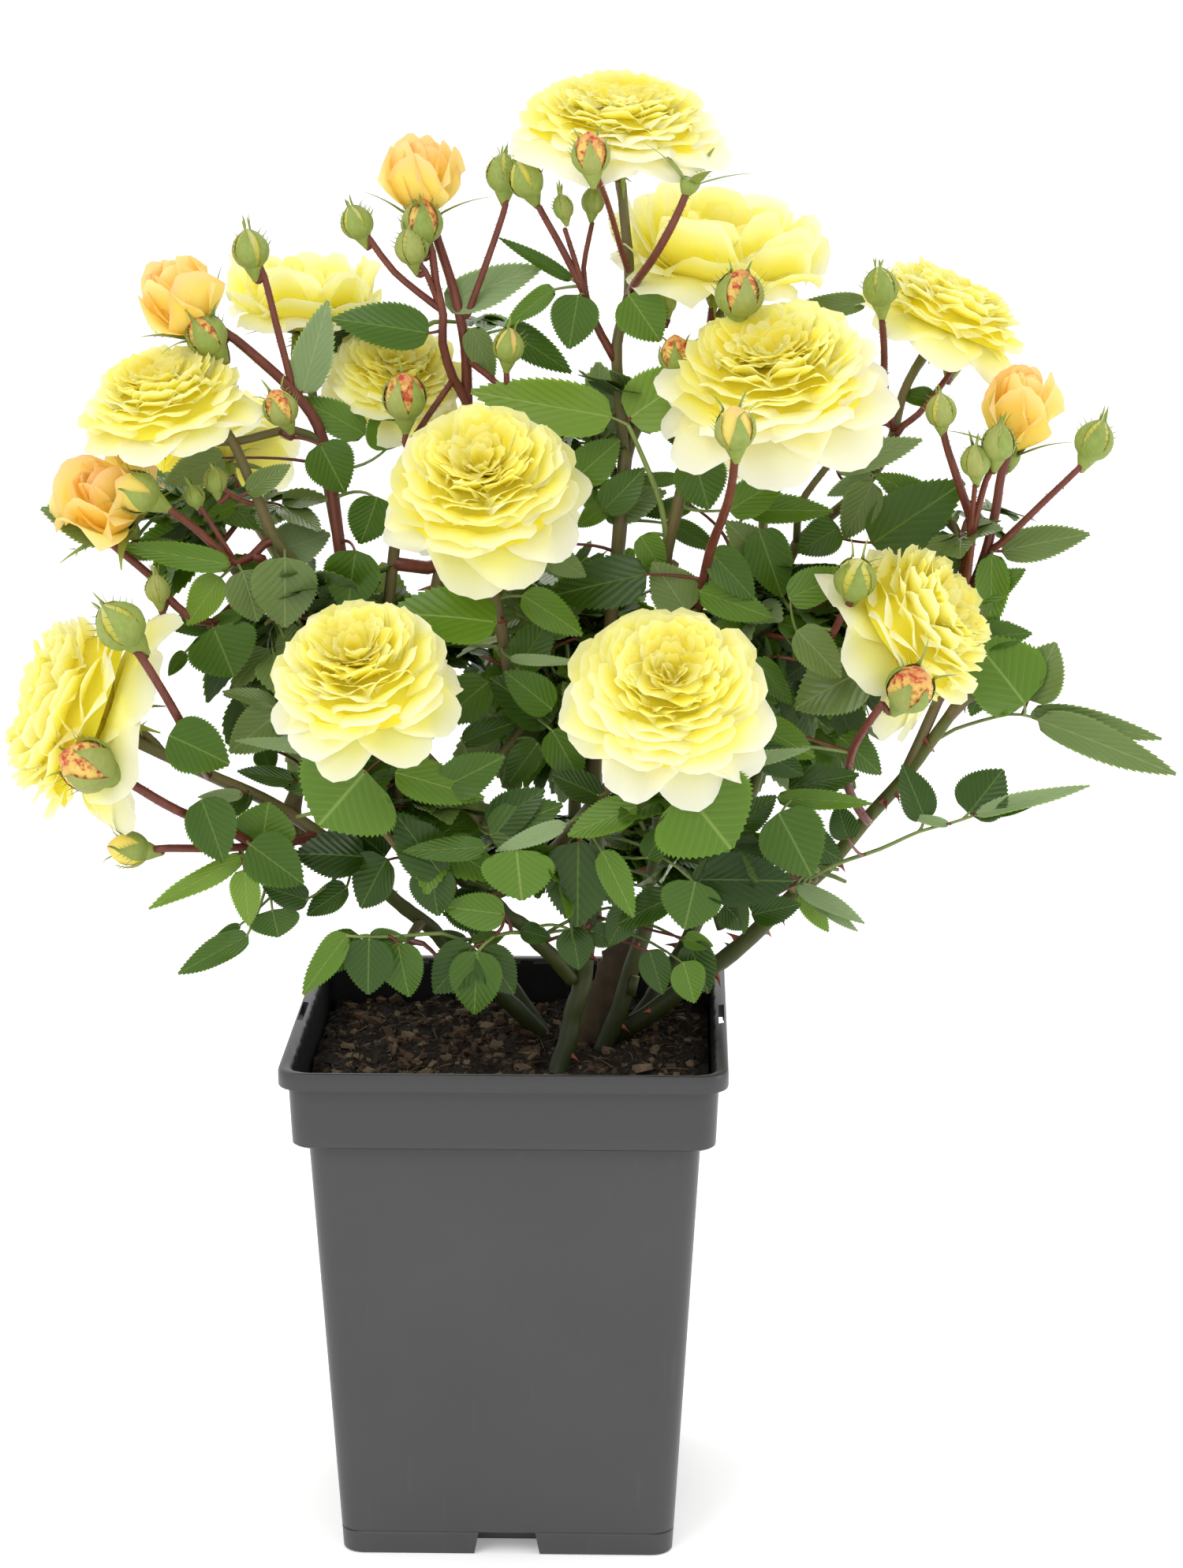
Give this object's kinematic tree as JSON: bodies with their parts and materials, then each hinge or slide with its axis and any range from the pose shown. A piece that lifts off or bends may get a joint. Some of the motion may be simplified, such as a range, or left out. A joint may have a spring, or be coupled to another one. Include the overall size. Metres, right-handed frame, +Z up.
{
  "type": "potted rose bush",
  "caption": "Yellow shrub rose in full bloom in a square grey nursery pot, with upright and arching canes, glossy leaves, open rosette flowers and buds.",
  "frame": {"origin": "centre of the pot's flat underside", "axes": "+Z up through the pot and crown, -Y towards the front of the plant, +X to its right as seen from the front"},
  "size_m": [0.5276, 0.3707, 0.6645],
  "materials": {
    "pot": "satin",
    "compost": "matte",
    "bark": "satin",
    "old_wood": "matte",
    "red_stem": "satin",
    "leaf": "satin",
    "petal": "matte",
    "apricot": "matte"
  },
  "bodies": {
    "root": {"bloom_back_centre": "petal", "bloom_back_high": "petal", "bloom_back_left": "petal", "bloom_back_low": "petal", "bloom_back_right": "petal", "bloom_centre": "petal", "bloom_far_left": "petal", "bloom_far_right": "petal", "bloom_left_back": "petal", "bloom_left_high": "petal", "bloom_low_left": "petal", "bloom_low_right": "petal", "bloom_right_high": "petal", "bloom_right_large": "petal", "bloom_top": "petal", "bloom_upper_right": "petal", "bough_left_front": "bark", "buds_far_left": "apricot", "buds_far_right": "apricot", "buds_left": "apricot", "buds_left_low": "apricot", "buds_top_left": "apricot", "cane_back": "bark", "cane_back_left": "bark", "cane_back_right": "bark", "cane_front": "bark", "cane_left": "bark", "cane_right": "bark", "cane_right_arch": "bark", "cane_stub": "old_wood", "compost": "compost", "leaves_back_centre": "leaf", "leaves_back_left": "leaf", "leaves_back_right": "leaf", "leaves_centre": "leaf", "leaves_front_centre": "leaf", "leaves_front_left": "leaf", "leaves_front_right": "leaf", "leaves_low_back": "leaf", "leaves_low_left": "leaf", "leaves_low_right": "leaf", "leaves_mid_left": "leaf", "leaves_mid_right": "leaf", "leaves_right_edge": "leaf", "leaves_right_spray": "leaf", "leaves_right_tip": "leaf", "leaves_soil_left": "leaf", "leaves_top_left": "leaf", "leaves_upper_centre": "leaf", "leaves_upper_left": "leaf", "leaves_upper_right": "leaf", "pot": "pot", "stem_far_left": "red_stem", "stem_far_right": "red_stem", "stem_left": "red_stem", "stem_right_high": "red_stem", "stem_right_large": "red_stem", "stem_top": "red_stem", "stem_top_left": "red_stem", "stem_upper_right": "red_stem"}
  },
  "joints": []
}
